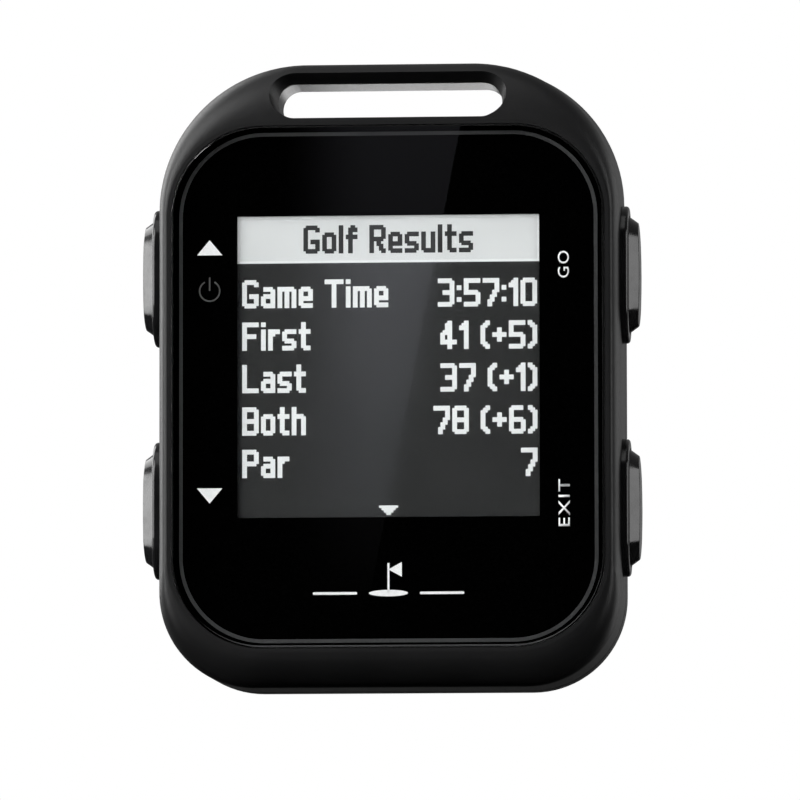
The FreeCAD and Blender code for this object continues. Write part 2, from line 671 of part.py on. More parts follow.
def cap(z):
    """Push cap: straight skirt, bevelled all round, crowned outer face, spring pocket behind."""
    bevel_x = CAP_OUT_X - CAP_BEVEL
    skirt = stadium_x(CAP_LENGTH, CAP_WIDTH, z, CAP_IN_X, bevel_x)
    small = stadium_wire(CAP_LENGTH - 2 * CAP_BEVEL_IN, CAP_WIDTH - 2 * CAP_BEVEL_IN, z, CAP_OUT_X)
    bevel = Part.makeLoft([stadium_wire(CAP_LENGTH, CAP_WIDTH, z, bevel_x), small], True, True)
    block = crown_x(skirt.fuse(bevel), CAP_LENGTH, z, CAP_OUT_X, CAP_CROWN).removeSplitter()
    rim = [e for e in block.Edges if e.BoundBox.XMin > bevel_x + CAP_BEVEL / 3]
    block = block.makeFillet(CAP_EDGE_R, rim)
    pocket = rod_x(BUTTON_Y, z, SPRING_POCKET_R, CAP_IN_X - 1, POCKET_X)
    return block.cut([pocket, rod_x(BUTTON_Y, z, STEM_R, POCKET_X - 1, STEM_OUT_X)])


def stem(z):
    """Steel stem with a groove for its ring seal and one for its retaining clip."""
    shaft = rod_x(BUTTON_Y, z, STEM_R, STEM_IN_X, STEM_OUT_X)
    ring_x = WELL_X - RING_FROM_WELL - RING_GROOVE_WIDTH
    cuts = []
    for x0, x1 in ((ring_x, ring_x + RING_GROOVE_WIDTH),
                   (CLIP_X - CLIP_GROOVE_GAP, CLIP_X + CLIP_THICKNESS + CLIP_GROOVE_GAP)):
        groove = rod_x(BUTTON_Y, z, STEM_R + 1, x0, x1)
        cuts.append(groove.cut(rod_x(BUTTON_Y, z, RING_GROOVE_R, x0, x1)))
    return shaft.cut(cuts)


def stem_seal(z):
    x = WELL_X - RING_FROM_WELL - RING_GROOVE_WIDTH / 2
    return Part.makeTorus(RING_GROOVE_R + RING_R, RING_R, Vector(x, BUTTON_Y, z), X)


def stem_clip(z):
    ring = rod_x(BUTTON_Y, z, CLIP_R, CLIP_X, CLIP_X + CLIP_THICKNESS)
    hole = rod_x(BUTTON_Y, z, RING_GROOVE_R, CLIP_X, CLIP_X + CLIP_THICKNESS)
    mouth = box(CLIP_X, CLIP_X + CLIP_THICKNESS, BUTTON_Y, BUTTON_Y + 2 * CLIP_R,
                z - CLIP_MOUTH / 2, z + CLIP_MOUTH / 2)
    return ring.cut([hole, mouth])


def return_spring(z):
    """Coil spring between the floor of the well and the pocket of the cap."""
    start = WELL_X + SPRING_WIRE_R + SPRING_END_GAP
    height = POCKET_X - SPRING_WIRE_R - SPRING_END_GAP - start
    pitch = height / SPRING_TURNS
    helix = Part.makeLongHelix(pitch, height, SPRING_R)
    along_wire = Vector(0, 2 * math.pi * SPRING_R, pitch)
    section = Part.Wire([Part.makeCircle(SPRING_WIRE_R, Vector(SPRING_R, 0, 0), along_wire)])
    coil = Part.Wire(helix).makePipeShell([section], True, True)
    coil.rotate(Vector(), Y, 90)
    coil.translate(Vector(start, BUTTON_Y, z))
    return coil


def switch_body(z):
    dx, dy, dz = SWITCH_SIZE
    block = box(SWITCH_X - dx, SWITCH_X, BOARD_BACK_Y, BOARD_BACK_Y + dy, z - dz / 2, z + dz / 2)
    depth = SWITCH_PIN_IN + TRAVEL + SWITCH_PIN_GAP
    return block.cut(rod_x(BUTTON_Y, z, SWITCH_PIN_R + SWITCH_PIN_GAP, SWITCH_X - depth, SWITCH_X))


def switch_pin(z):
    return rod_x(BUTTON_Y, z, SWITCH_PIN_R, SWITCH_X - SWITCH_PIN_IN, STEM_IN_X)


def on_side(shape, side):
    """Parts are drawn for the right side, and mirrored for the left."""
    return shape if side > 0 else shape.mirror(Vector(), X)


def buttons():
    switches = []
    for name, (side, z) in BUTTONS.items():
        save(name + "_button_surround", on_side(surround(z), side))
        save(name + "_button_cap", on_side(cap(z), side))
        save(name + "_button_stem", on_side(stem(z), side))
        save(name + "_stem_seal", on_side(stem_seal(z), side))
        save(name + "_stem_clip", on_side(stem_clip(z), side))
        save(name + "_return_spring", on_side(return_spring(z), side))
        save(name + "_switch_pin", on_side(switch_pin(z), side))
        switches.append(on_side(switch_body(z), side))
    save("side_switches", *switches)


os.makedirs("parts", exist_ok=True)
housing()
display()
electronics()
charging()
buttons()
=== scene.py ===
# %% [markdown]
# # A pocket golf GPS unit
#
# The unit is a black moulded case with a lanyard loop, a cover glass with a printed border, a square
# display behind it and four side buttons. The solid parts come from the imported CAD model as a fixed
# frame. This lesson gives them their finishes, and models what the frame leaves out: the prints on the
# back of the glass and the picture on the display.

import math

import bmesh
import bpy
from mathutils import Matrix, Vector


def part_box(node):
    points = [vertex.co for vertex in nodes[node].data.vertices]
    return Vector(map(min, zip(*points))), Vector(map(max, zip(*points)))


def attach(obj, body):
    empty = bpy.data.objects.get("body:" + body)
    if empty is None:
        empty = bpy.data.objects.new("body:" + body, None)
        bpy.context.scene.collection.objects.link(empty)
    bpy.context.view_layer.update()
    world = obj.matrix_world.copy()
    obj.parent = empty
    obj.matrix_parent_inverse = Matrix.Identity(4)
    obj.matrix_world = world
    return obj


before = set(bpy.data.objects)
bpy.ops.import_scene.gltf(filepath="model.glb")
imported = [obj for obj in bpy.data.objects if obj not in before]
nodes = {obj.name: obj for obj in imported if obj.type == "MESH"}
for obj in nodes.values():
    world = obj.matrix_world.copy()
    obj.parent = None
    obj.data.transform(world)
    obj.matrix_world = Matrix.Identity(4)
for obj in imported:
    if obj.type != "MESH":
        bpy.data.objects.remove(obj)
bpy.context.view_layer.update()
MM = 0.001

# %% [markdown]
# ## Places that the frame gives
#
# Each new piece takes its place from a CAD part's own box, so that it stays right when the model
# changes. The glass has its outer face at the front. The prints lie just inside its back face, and the
# display's front face is a little further back.

# %% Read the places
lens_low, lens_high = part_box("lens")
panel_low, panel_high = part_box("lcd_panel")
LENS_MIDDLE = (lens_low + lens_high) / 2
PRINT_DEPTH = 0.03 * MM
SCREEN_CLEARANCE = 0.01 * MM
PRINT_Y = lens_high.y - PRINT_DEPTH
SCREEN_Y = panel_low.y - SCREEN_CLEARANCE
print("glass", round(lens_low.y / MM, 2), "to", round(lens_high.y / MM, 2), "screen", round(SCREEN_Y / MM, 2))

# %% [markdown]
# ## The camera
#
# The unit is seen from a little to its right and from below its middle, with a long lens, so that its
# sides hardly converge. The eye stands on a sphere round a point near the middle of the unit. A small
# roll, and a shift of a few hundredths of the frame, place the unit in the picture.

# %% Camera
VIEW_AZIMUTH = math.radians(4.4)
VIEW_ELEVATION = math.radians(-5.0)
VIEW_ROLL = math.radians(-0.09)
VIEW_DISTANCE = 0.7
FRAME_WIDTH = 0.06164
SENSOR_WIDTH = 36.0
AIM = Vector((0, -0.001, 0.024))
FRAME_SHIFT = (0.0087, -0.027)

toward_eye = Vector((
    math.sin(VIEW_AZIMUTH) * math.cos(VIEW_ELEVATION),
    -math.cos(VIEW_AZIMUTH) * math.cos(VIEW_ELEVATION),
    math.sin(VIEW_ELEVATION),
))
camera_data = bpy.data.cameras.new("camera")
camera_data.sensor_width = SENSOR_WIDTH
camera_data.lens = SENSOR_WIDTH * VIEW_DISTANCE / FRAME_WIDTH
camera_data.shift_x, camera_data.shift_y = FRAME_SHIFT
camera_data.clip_start = 0.01
camera = bpy.data.objects.new("camera", camera_data)
camera.location = AIM + toward_eye * VIEW_DISTANCE
camera.rotation_euler = (-toward_eye).to_track_quat("-Z", "Y").to_euler()
camera.rotation_euler.rotate_axis("Z", VIEW_ROLL)
bpy.context.scene.collection.objects.link(camera)
bpy.context.scene.camera = camera
bpy.context.scene.view_settings.view_transform = "Standard"
print("lens", round(camera_data.lens), "mm at", VIEW_DISTANCE, "m")

# %% [markdown]
# ## Helpers for colours and nodes
#
# Colours are written as sRGB hex values, as a paint chart gives them, and one function turns them into
# the linear values that the shaders add up with. One small function adds a node, with its settings and
# its links, so a material reads as a short list of steps.

# %% Colour and node helpers


def colour(hex_value):
    """The linear colour, with an alpha of 1, of an sRGB hex value such as "#1a2b3c"."""
    channels = []
    for i in (1, 3, 5):
        c = int(hex_value[i:i + 2], 16) / 255
        channels.append(c / 12.92 if c <= 0.04045 else ((c + 0.055) / 1.055) ** 2.4)
    return (*channels, 1.0)


def add_node(tree, kind, settings=(), **inputs):
    """Adds a node. settings are its properties. inputs are sockets by name, or by number as _0, _1."""
    node = tree.nodes.new(kind)
    for key, value in dict(settings).items():
        setattr(node, key, value)
    for name, value in inputs.items():
        socket = node.inputs[int(name[1:])] if name[0] == "_" else node.inputs[name.replace("_", " ")]
        if isinstance(value, bpy.types.NodeSocket):
            tree.links.new(value, socket)
        else:
            socket.default_value = value
    return node


def new_material(name, base, roughness, **sockets):
    """A material with one Principled shader. Returns the material, its tree, its shader and its place."""
    material = bpy.data.materials.new(name)
    material.use_nodes = True
    tree = material.node_tree
    shader = tree.nodes["Principled BSDF"]
    shader.inputs["Base Color"].default_value = colour(base)
    shader.inputs["Roughness"].default_value = roughness
    for key, value in sockets.items():
        shader.inputs[key.replace("_", " ")].default_value = value
    place = add_node(tree, "ShaderNodeTexCoord").outputs["Object"]
    return material, tree, shader, place


def grain(tree, place, shader, size_mm, depth_mm, detail=3.0, rough=(), stretch=(1, 1, 1)):
    """Bump from noise of a real size, and a spread of roughness where rough gives its two ends."""
    scale = add_node(tree, "ShaderNodeMapping", Vector=place, Scale=stretch).outputs["Vector"]
    noise = add_node(tree, "ShaderNodeTexNoise", Vector=scale, Scale=1 / (size_mm * MM), Detail=detail)
    bump = add_node(tree, "ShaderNodeBump", Height=noise.outputs["Fac"], Strength=1.0,
                    Distance=depth_mm * MM)
    tree.links.new(bump.outputs["Normal"], shader.inputs["Normal"])
    if rough:
        spread = add_node(tree, "ShaderNodeMapRange", Value=noise.outputs["Fac"], From_Min=0.3,
                          From_Max=0.7, To_Min=rough[0], To_Max=rough[1])
        tree.links.new(spread.outputs["Result"], shader.inputs["Roughness"])
    return noise


def tint(tree, place, shader, size_mm, dark, light, detail=2.0):
    """Slow changes of colour over the surface, between two hex colours."""
    noise = add_node(tree, "ShaderNodeTexNoise", Vector=place, Scale=1 / (size_mm * MM), Detail=detail)
    ramp = add_node(tree, "ShaderNodeValToRGB", Fac=noise.outputs["Fac"])
    ramp.color_ramp.elements[0].position = 0.35
    ramp.color_ramp.elements[1].position = 0.65
    ramp.color_ramp.elements[0].color = colour(dark)
    ramp.color_ramp.elements[1].color = colour(light)
    tree.links.new(ramp.outputs["Color"], shader.inputs["Base Color"])


def finish_of(material, *names):
    """Puts the material on CAD nodes, in their material slots."""
    for name in names:
        slots = nodes[name].data.materials
        slots.clear()
        slots.append(material)
        print(name, "->", material.name)


# %% [markdown]
# ## Case: glass-filled polycarbonate, spark-eroded mould
#
# A rugged handheld's shells are moulded from black polycarbonate in a mould whose walls are spark
# eroded. The real grain is a few hundredths of a millimetre, and it breaks the sheen into a soft glow,
# with no mirror image anywhere. A noise bump of 0.09 mm, about twice the real size so that it shows,
# gives the glow. A spread of roughness gives the greasier and drier areas that handled plastic has.

# %% Case plastic
case_plastic, tree, shader, place = new_material("moulded_polycarbonate_eroded", "#101011", 0.4,
                                                 IOR=1.58, Specular_IOR_Level=0.3)
tint(tree, place, shader, 6.0, "#0f0f10", "#121213")
grain(tree, place, shader, 0.09, 0.008, rough=(0.36, 0.5))
finish_of(case_plastic, "front_case", "rear_cover", "contact_carrier")

# %% [markdown]
# ## Buttons: polished black ABS
#
# The caps and the rings round them come from a polished mould, so they carry sharp reflections that
# split along each bevel. A very shallow, long noise keeps the reflections from looking computed: real
# moulded faces are never quite flat.

# %% Button plastic
button_plastic, tree, shader, place = new_material("polished_moulded_abs", "#151516", 0.16, IOR=1.54)
tint(tree, place, shader, 3.0, "#131314", "#19191a")
grain(tree, place, shader, 0.9, 0.006, detail=1.0, rough=(0.13, 0.22))
for key in ("up", "down", "enter", "back"):
    finish_of(button_plastic, key + "_button_cap", key + "_button_surround")

# %% [markdown]
# ## Cover glass: polished soda-lime, flat
#
# The pane is clear and nearly perfect, so all that shows of it is the reflection and a polished edge.
# Light from the lamps has to reach the display through it. A glass shader alone would put the display
# in the dark, so rays on their way to a lamp see clear space instead, which a Light Path node chooses.
# A trace of haze from finger grease is in the roughness.

# %% Cover glass
lens_glass, tree, shader, place = new_material("polished_soda_lime_glass", "#f4f7f7", 0.01, IOR=1.5,
                                               Transmission_Weight=1.0)
smears = add_node(tree, "ShaderNodeTexNoise", Vector=place, Scale=1 / (9 * MM), Detail=3.0)
haze = add_node(tree, "ShaderNodeMapRange", Value=smears.outputs["Fac"], From_Min=0.45, From_Max=0.75,
                To_Min=0.004, To_Max=0.012)
tree.links.new(haze.outputs["Result"], shader.inputs["Roughness"])
clear = add_node(tree, "ShaderNodeBsdfTransparent")
to_lamp = add_node(tree, "ShaderNodeLightPath").outputs["Is Shadow Ray"]
both = add_node(tree, "ShaderNodeMixShader", _0=to_lamp, _1=shader.outputs["BSDF"],
                _2=clear.outputs["BSDF"])
tree.links.new(both.outputs["Shader"], tree.nodes["Material Output"].inputs["Surface"])
finish_of(lens_glass, "lens")

# %% [markdown]
# ## Printed film: screen-printed black ink
#
# The back of the glass is printed black round the display. Ink seen through glass is the deepest black
# on the unit. A fine speckle, far below what the eye separates, keeps it from being a painted hole.

# %% Mask ink
mask_ink, tree, shader, place = new_material("screen_printed_black_ink", "#020202", 0.9,
                                             Specular_IOR_Level=0.0)
tint(tree, place, shader, 0.15, "#010101", "#040404")
finish_of(mask_ink, "lens_mask")

# %% [markdown]
# ## Display: liquid crystal cell
#
# The cell's ground is a neutral dark grey, since it is a negative panel: the dots of a letter let the
# light through, and all the others block it. Its reflecting polariser mirrors more than plain glass
# does, so its index is a high one. Its grey is slightly uneven, as the light behind a real one is.

# %% Display glass
PICTURE_DOTS = 128
PICTURE_WIDTH = 23.2 * MM
DOT = PICTURE_WIDTH / PICTURE_DOTS
display_glass, tree, shader, place = new_material("liquid_crystal_cell", "#3c3c3c", 0.045, IOR=2.4,
                                                  Specular_IOR_Level=1.0)
tint(tree, place, shader, 7.0, "#3b3b3b", "#3e3e3e", detail=1.0)
finish_of(display_glass, "lcd_panel")
print("display dot", round(DOT / MM, 4), "mm")

# %% [markdown]
# ## Helpers for thin prints
#
# A print is a layer of ink a few hundredths of a millimetre thick. Each one starts as a flat face that
# looks to the front, is cut to its outline in edit mode, and then gets its thickness from a Solidify
# modifier, so that it is a closed body like every other piece.

# %% Print helpers
INK = 0.02 * MM


def flat_face(name, sides, centre, width, height, turn=0.0):
    """A filled outline facing the front, at the origin and in edit mode with all of it selected."""
    bpy.ops.object.select_all(action="DESELECT")
    if sides == 4:
        bpy.ops.mesh.primitive_plane_add(size=1)
    else:
        bpy.ops.mesh.primitive_circle_add(vertices=sides, radius=0.5, fill_type="NGON")
    piece = bpy.context.object
    piece.name = name
    bpy.ops.object.mode_set(mode="EDIT")
    bpy.ops.mesh.select_all(action="SELECT")
    bpy.ops.transform.rotate(value=turn, orient_axis="Z", center_override=(0, 0, 0))
    span = [max(v.co[i] for v in piece.data.vertices) - min(v.co[i] for v in piece.data.vertices)
            for i in (0, 1)]
    bpy.ops.transform.resize(value=(width / span[0], height / span[1], 1), center_override=(0, 0, 0))
    bpy.ops.object.mode_set(mode="OBJECT")
    piece.rotation_euler = (math.pi / 2, 0, 0)
    piece.location = centre
    bpy.ops.object.transform_apply(location=True, rotation=True, scale=True)
    bpy.ops.object.mode_set(mode="EDIT")
    bpy.ops.mesh.select_all(action="SELECT")
    return piece


def as_ink(piece, material):
    """Gives a flat piece its thickness towards the front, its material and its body."""
    if bpy.context.object.mode == "EDIT":
        bpy.ops.object.mode_set(mode="OBJECT")
    solidify = piece.modifiers.new("thickness", "SOLIDIFY")
    solidify.thickness = INK
    solidify.offset = 1.0
    bpy.ops.object.modifier_apply(modifier=solidify.name)
    piece.data.materials.clear()
    piece.data.materials.append(material)
    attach(piece, "housing")
    print(piece.name, "faces", len(piece.data.polygons))


def delete_faces(piece, unwanted):
    """Deletes the faces whose middle the test unwanted accepts, in edit mode."""
    mesh = bmesh.from_edit_mesh(piece.data)
    for face in mesh.faces:
        face.select_set(unwanted(face.calc_center_median()))
    bmesh.update_edit_mesh(piece.data)
    bpy.ops.mesh.delete(type="FACE")


# %% [markdown]
# ## Inks
#
# White screen ink is an opaque enamel with a satin face, and the border line and the power sign are the
# same ink tinted to greys. All show a slight mottle where the mesh of the screen left more or less of it.
# The white one glows very slightly, in place of the light that a bright room would send at it from all
# sides.

# %% Ink materials
white_ink, tree, shader, place = new_material("screen_printed_white_enamel", "#f8f8f8", 0.5,
                                              Emission_Strength=0.1, Emission_Color=colour("#ffffff"))
tint(tree, place, shader, 0.25, "#f4f4f4", "#fcfcfc")
grey_ink, tree, shader, place = new_material("screen_printed_grey_enamel", "#2f2f30", 0.5)
tint(tree, place, shader, 0.25, "#2d2d2e", "#323233")
dim_ink, tree, shader, place = new_material("screen_printed_dim_enamel", "#4b4b4b", 0.5)
tint(tree, place, shader, 0.2, "#484848", "#4f4f4f")

# %% [markdown]
# ## Border line
#
# A thin grey line runs round the glass, a little inside its edge, with the same round corners. It starts
# as a rectangle whose four corners are bevelled into arcs. An inset of the line's width then leaves a
# ring when the middle is deleted.

# %% Border line
BORDER_INSET_SIDE = 0.53 * MM
BORDER_INSET_TOP = 0.44 * MM
BORDER_INSET_BASE = 0.38 * MM
BORDER_LINE = 0.28 * MM
BORDER_CORNER = 6.55 * MM
line_low = lens_low.z + BORDER_INSET_BASE
line_high = lens_high.z - BORDER_INSET_TOP
line_width = lens_high.x - lens_low.x - 2 * BORDER_INSET_SIDE
border = flat_face("border_line", 4, (LENS_MIDDLE.x, PRINT_Y, (line_low + line_high) / 2),
                   line_width, line_high - line_low)
bpy.ops.mesh.bevel(offset=BORDER_CORNER, segments=24, affect="VERTICES")
bpy.ops.mesh.select_all(action="SELECT")
bpy.ops.mesh.inset(thickness=BORDER_LINE)
bpy.ops.mesh.delete(type="FACE")
as_ink(border, grey_ink)

# %% [markdown]
# ## Symbols for the buttons
#
# Each button has its sign printed beside it: a triangle for up and for down, a power ring for a long
# press, and two small words at the right for going on and for leaving. The signs stand level with the
# buttons, so their heights come from the caps.

# %% Symbols
TRIANGLE_WIDTH = 1.96 * MM
TRIANGLE_HEIGHT = 1.17 * MM
SYMBOL_X = lens_low.x + 2.88 * MM
WORD_X = lens_high.x - 3.14 * MM


def cap_middle(name):
    low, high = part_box(name + "_button_cap")
    return (low.z + high.z) / 2


UP_Z = cap_middle("up") + 1.77 * MM
POWER_Z = cap_middle("up") - 1.37 * MM
DOWN_Z = cap_middle("down") + 1.03 * MM
for name, z, turn in (("up_arrow_print", UP_Z, 0.0), ("down_arrow_print", DOWN_Z, math.pi)):
    arrow = flat_face(name, 3, (SYMBOL_X, PRINT_Y, z), TRIANGLE_WIDTH, TRIANGLE_HEIGHT, turn)
    bpy.ops.mesh.bevel(offset=0.04 * MM, segments=2, affect="VERTICES")
    as_ink(arrow, white_ink)

# %% [markdown]
# ## Power sign
#
# The power sign is a thin ring with a gap at the top and a bar in the gap, printed in a dimmer grey than
# the triangles. An inset leaves a ring when the middle is deleted, and the gap is made by deleting the
# faces near the top.

# %% Power sign
POWER_WIDTH = 1.66 * MM
POWER_STROKE = 0.11 * MM
POWER_GAP = math.radians(28)
ring = flat_face("power_ring_print", 64, (SYMBOL_X, PRINT_Y, POWER_Z), POWER_WIDTH, POWER_WIDTH)
bpy.ops.mesh.inset(thickness=POWER_STROKE)
bpy.ops.mesh.delete(type="FACE")
delete_faces(ring, lambda p: abs(math.atan2(p.x - SYMBOL_X, p.z - POWER_Z)) < POWER_GAP)
as_ink(ring, dim_ink)
bar = flat_face("power_bar_print", 4, (SYMBOL_X, PRINT_Y, POWER_Z + POWER_WIDTH * 0.32),
                POWER_STROKE, POWER_WIDTH * 0.62)
bpy.ops.mesh.bevel(offset=POWER_STROKE / 3, segments=2, affect="VERTICES")
as_ink(bar, dim_ink)

# %% [markdown]
# ## Button words
#
# The two words are plain function words. A text object gives the outlines, and it is turned to a mesh
# before it is placed, so that the finished piece sits at the origin. It reads upwards, along the side.

# %% Button words
WORD_HEIGHT = 0.86 * MM
LETTER_SPACE = 1.15
LETTER_FATTENING = 0.004


def printed_word(name, words, centre, length, height):
    """Words as a flat mesh at the glass, of a given length and height. They read upwards."""
    bpy.ops.object.select_all(action="DESELECT")
    bpy.ops.object.text_add()
    piece = bpy.context.object
    piece.name = name
    piece.data.body = words
    piece.data.space_character = LETTER_SPACE
    piece.data.resolution_u = 4
    piece.data.offset = LETTER_FATTENING
    bpy.ops.object.convert(target="MESH")
    bpy.ops.object.mode_set(mode="EDIT")
    bpy.ops.mesh.select_all(action="SELECT")
    bpy.ops.mesh.remove_doubles(threshold=0.0001)
    bpy.ops.object.mode_set(mode="OBJECT")
    xs = [v.co.x for v in piece.data.vertices]
    ys = [v.co.y for v in piece.data.vertices]
    grow_x = length / (max(xs) - min(xs))
    grow_y = height / (max(ys) - min(ys))
    for vertex in piece.data.vertices:
        across = (vertex.co.x - (max(xs) + min(xs)) / 2) * grow_x
        above = (vertex.co.y - (max(ys) + min(ys)) / 2) * grow_y
        vertex.co = (centre[0] - above, centre[1], centre[2] + across)
    return piece


for name, words, z, length in (
    ("enter_word_print", "GO", cap_middle("enter") + 0.45 * MM, 2.07 * MM),
    ("back_word_print", "EXIT", cap_middle("back") + 0.13 * MM, 3.6 * MM),
):
    word = printed_word(name, words, (WORD_X, PRINT_Y, z), length, WORD_HEIGHT)
    as_ink(word, white_ink)

# %% [markdown]
# ## Pictogram under the display
#
# Such units carry a printed sign under the display. Here it is a plain flag on a green, with a short rule
# on each side of it, made of simple outlines.

# %% Pictogram
SIGN_Z = lens_low.z + 5.3 * MM
SIGN_HEIGHT = 2.3 * MM
POLE_WIDTH = 0.16 * MM
FLAG_LENGTH, FLAG_HEIGHT = 1.2 * MM, 0.98 * MM
FLAG_X, FLAG_RISE = 0.68 * MM, 0.66 * MM
GREEN_WIDTH, GREEN_HEIGHT = 3.0 * MM, 0.5 * MM
RULE_X, RULE_LENGTH, RULE_WIDTH = 4.1 * MM, 3.4 * MM, 0.2 * MM
SIGN_FOOT = SIGN_Z - SIGN_HEIGHT / 2
pole = flat_face("flag_pole_print", 4, (0, PRINT_Y, SIGN_Z), POLE_WIDTH, SIGN_HEIGHT)
as_ink(pole, white_ink)
flag = flat_face("flag_print", 3, (FLAG_X, PRINT_Y, SIGN_Z + FLAG_RISE), FLAG_LENGTH, FLAG_HEIGHT,
                 -math.pi / 2)
bpy.ops.mesh.bevel(offset=0.03 * MM, segments=2, affect="VERTICES")
as_ink(flag, white_ink)
green = flat_face("green_print", 48, (0, PRINT_Y, SIGN_FOOT), GREEN_WIDTH, GREEN_HEIGHT)
as_ink(green, white_ink)
for side, name in ((-1, "left_rule_print"), (1, "right_rule_print")):
    rule = flat_face(name, 4, (side * RULE_X, PRINT_Y, SIGN_FOOT), RULE_LENGTH, RULE_WIDTH)
    bpy.ops.mesh.bevel(offset=0.09 * MM, segments=4, affect="VERTICES")
    as_ink(rule, white_ink)

# %% [markdown]
# ## The picture on the display
#
# The display shows a page of results in a small dot type: a light title band, five lines and an arrow
# for more. Letters on such a panel are drawn with a pen two dots square, so each letter here is a few
# strokes of that pen between points of a grid. A stroke's points are pairs of digits, across and down,
# with a for 10, and a slash lifts the pen.

# %% Dot type
PEN = 2
SPACE_WIDTH = 4
LETTER_GAP = 2
LETTERS = {
    "B": "00 0a / 00 40 51 54 45 05 / 45 56 59 4a 0a", "F": "50 00 0a / 05 45",
    "G": "51 40 10 01 09 1a 4a 59 56 36", "L": "00 0a 5a", "P": "00 0a / 00 40 51 54 45 05",
    "R": "00 0a / 00 40 51 54 45 05 / 25 5a", "T": "00 60 / 30 3a", "a": "13 33 44 4a 1a 09 07 16 46",
    "e": "47 07 04 13 33 44 47 / 07 09 1a 4a", "f": "31 20 11 1a / 04 34", "h": "00 0a / 04 13 33 44 4a",
    "i": "03 0a / 00 00", "l": "00 0a", "m": "03 0a / 03 23 34 3a / 34 43 53 64 6a",
    "o": "13 33 44 49 3a 1a 09 04 13", "r": "03 0a / 05 23 33", "s": "43 13 04 06 17 37 48 49 3a 0a",
    "t": "10 19 2a 3a / 03 33", "u": "03 09 1a 4a 43",
    "0": "10 40 51 59 4a 1a 09 01 10", "1": "02 20 2a", "3": "00 40 51 54 45 25 / 45 56 59 4a 0a",
    "4": "3a 30 06 08 58", "5": "50 00 05 45 56 59 4a 0a", "6": "40 10 01 09 1a 4a 59 56 45 05",
    "7": "00 50 53 2a", "8": "10 40 51 54 45 15 04 01 10 / 15 06 09 1a 4a 59 56 45",
    ":": "03 03 / 08 08", "(": "20 02 08 2a", ")": "00 22 28 0a", "+": "23 27 / 05 45",
}


def strokes(letter):
    """The pen's paths in a letter, each as a list of (across, down)."""
    paths = []
    for part in LETTERS[letter].split("/"):
        paths.append([(int(p[0], 16), int(p[1], 16)) for p in part.split()])
    return paths


def letter_dots(letter):
    """Every dot that the pen covers in a letter."""
    covered = set()
    for path in strokes(letter):
        for (x0, y0), (x1, y1) in zip(path, path[1:] + path[-1:]):
            steps = max(abs(x1 - x0), abs(y1 - y0), 1)
            for i in range(steps + 1):
                x = round(x0 + (x1 - x0) * i / steps)
                y = round(y0 + (y1 - y0) * i / steps)
                covered |= {(x + right, y + down) for right in range(PEN) for down in range(PEN)}
    return covered


def text_dots(words, x, y, end="left"):
    """The dots of a line whose top is y. It starts at x, ends there, or has its middle there."""
    dots, pen_x = set(), 0
    for letter in words:
        if letter == " ":
            pen_x += SPACE_WIDTH
            continue
        shape = letter_dots(letter)
        dots |= {(pen_x + px, py) for px, py in shape}
        pen_x += max(px for px, py in shape) + LETTER_GAP
    length = pen_x - LETTER_GAP + 1
    start = {"left": x, "right": x - length, "middle": x - length // 2}[end]
    return {(start + px, y + py) for px, py in dots}


print("letters", len(LETTERS), "dots in B", len(letter_dots("B")))

# %% [markdown]
# ## Dots into bodies
#
# Dots that stand side by side in a row are one thin bar. Hundreds of bars by hand would be slow, so bmesh
# makes them in one mesh: each is a box of six faces, and the whole picture is a few pieces. The lit dots
# glow slightly, since their light comes from behind the display.

# %% Picture pieces
PICTURE_LEFT = (panel_low.x + panel_high.x) / 2 - PICTURE_WIDTH / 2
PICTURE_INSET_TOP = 1.89 * MM
PICTURE_TOP = panel_high.z - PICTURE_INSET_TOP
DOT_DEPTH = 0.01 * MM
PICTURE_GAP = 1.5 * DOT_DEPTH


def runs(dots):
    """Rows of neighbouring dots as (first across, last across, down)."""
    found = []
    for x, y in sorted(dots, key=lambda p: (p[1], p[0])):
        if found and found[-1][2] == y and found[-1][1] == x - 1:
            found[-1] = (found[-1][0], x, y)
        else:
            found.append((x, x, y))
    return found


def picture_piece(name, dots, material):
    """Thin bars for the dots, a little in front of the display."""
    mesh = bmesh.new()
    back = SCREEN_Y - PICTURE_GAP
    for x0, x1, y in runs(dots):
        west, east = PICTURE_LEFT + x0 * DOT, PICTURE_LEFT + (x1 + 1) * DOT
        top, base = PICTURE_TOP - y * DOT, PICTURE_TOP - (y + 1) * DOT
        rims = []
        for depth in (back - DOT_DEPTH, back):
            corners = ((west, base), (east, base), (east, top), (west, top))
            rims.append([mesh.verts.new((cx, depth, cz)) for cx, cz in corners])
        front, rear = rims
        mesh.faces.new(front)
        mesh.faces.new(rear[::-1])
        for i in range(4):
            j = (i + 1) % 4
            mesh.faces.new((front[j], front[i], rear[i], rear[j]))
    data = bpy.data.meshes.new(name)
    mesh.to_mesh(data)
    mesh.free()
    data.materials.append(material)
    piece = bpy.data.objects.new(name, data)
    bpy.context.scene.collection.objects.link(piece)
    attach(piece, "housing")
    print(name, "bars", len(data.polygons) // 6)


lit, tree, shader, place = new_material("lit_crystal_dots", "#e8e8e8", 0.5, Emission_Strength=0.15,
                                        Emission_Color=colour("#ffffff"))
tint(tree, place, shader, 5.0, "#e6e6e6", "#ebebeb")
band_grey, tree, shader, place = new_material("lit_crystal_band", "#dcdcdc", 0.5, Emission_Strength=0.09,
                                              Emission_Color=colour("#ffffff"))
tint(tree, place, shader, 5.0, "#dadada", "#dfdfdf")
unlit, tree, shader, place = new_material("unlit_crystal_dots", "#262626", 0.5)
tint(tree, place, shader, 5.0, "#242424", "#292929")

